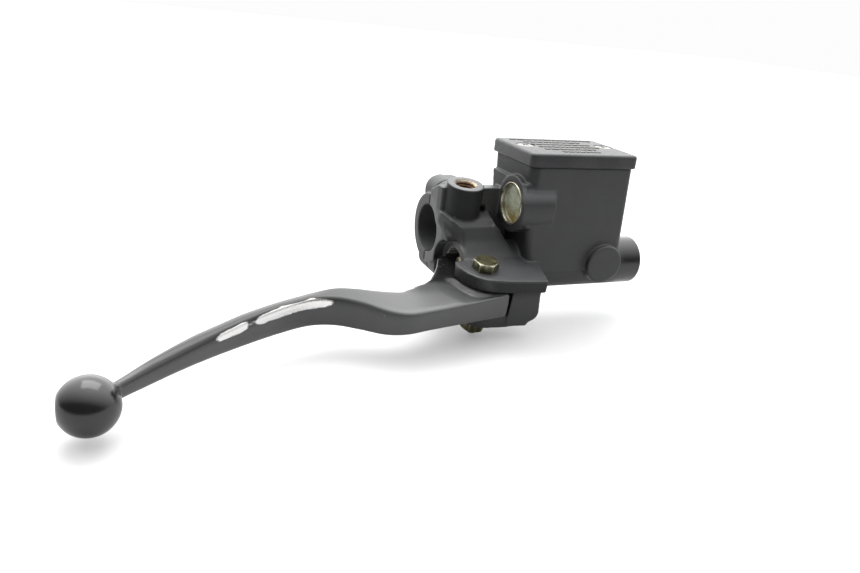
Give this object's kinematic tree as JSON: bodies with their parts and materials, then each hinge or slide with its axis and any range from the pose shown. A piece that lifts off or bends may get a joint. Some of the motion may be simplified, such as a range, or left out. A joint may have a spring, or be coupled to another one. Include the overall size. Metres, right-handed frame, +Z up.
{
  "type": "motorcycle brake master cylinder",
  "caption": "Handlebar brake master cylinder with an upright rectangular fluid reservoir, round sight glass, mirror boss, two-piece bar clamp and ball-ended lever.",
  "frame": {"origin": "centre of the handlebar bore, at the middle of the clamp's width", "axes": "+X along the handlebar from the lever's ball end to the outlet, +Y towards the rider, +Z up, square to the reservoir lid"},
  "size_m": [0.2524, 0.1134, 0.0813],
  "materials": {
    "body_paint": "satin, fine cast texture",
    "cap_paint": "satin, fine cast texture",
    "zinc_steel": "dull plated",
    "cover_plastic": "satin moulded",
    "bright_steel": "bright, scratched",
    "white_plastic": "smooth",
    "black_rubber": "matt",
    "sight_ring_brass": "thin turned ring",
    "sight_glass": "clear, slightly hazed",
    "lever_paint": "semi-gloss, worn on the ridge",
    "bush_brass": "plain",
    "yellow_zinc": "olive yellow zinc, worn edges",
    "piston_alloy": "hard anodised",
    "spring_steel": "bare"
  },
  "bodies": {
    "body": {"main_body": "body_paint", "lever_bracket": "body_paint", "cylinder_body": "body_paint", "reservoir_body": "body_paint", "clamp_cap": "cap_paint", "clamp_bolts": "zinc_steel", "clamp_washers": "zinc_steel", "reservoir_cover": "cover_plastic", "cover_screws": "bright_steel", "diaphragm_plate": "white_plastic", "diaphragm": "black_rubber", "port_baffle": "white_plastic", "sight_ring": "sight_ring_brass", "sight_lens": "sight_glass", "sight_seal": "black_rubber", "pivot_bolt": "yellow_zinc", "pivot_nut": "yellow_zinc", "stop_washer": "spring_steel", "circlip": "spring_steel", "dust_boot": "black_rubber", "return_spring": "spring_steel"},
    "lever": {"brake_lever": "lever_paint", "lever_bush": "bush_brass"},
    "piston": {"piston": "piston_alloy", "secondary_cup": "black_rubber", "primary_cup": "black_rubber", "spring_seat": "zinc_steel"}
  },
  "joints": [
    {"name": "lever_pivot", "type": "hinge", "parent": "body", "child": "lever", "pos_m": [0.0005, -0.038, -0.018], "axis": [0, 0.1564, -0.9877], "range_deg": [0, 18], "stiffness_Nm_per_rad": 0.5, "springref_deg": -28.65},
    {"name": "piston_slide", "type": "slide", "parent": "body", "child": "piston", "axis": [1, 0, 0], "range_m": [0, 0.0054], "deforming": ["return_spring"]}
  ],
  "couplings": [
    {"joint": "piston_slide", "follows": "lever_pivot", "m_per_rad": 0.01675}
  ]
}
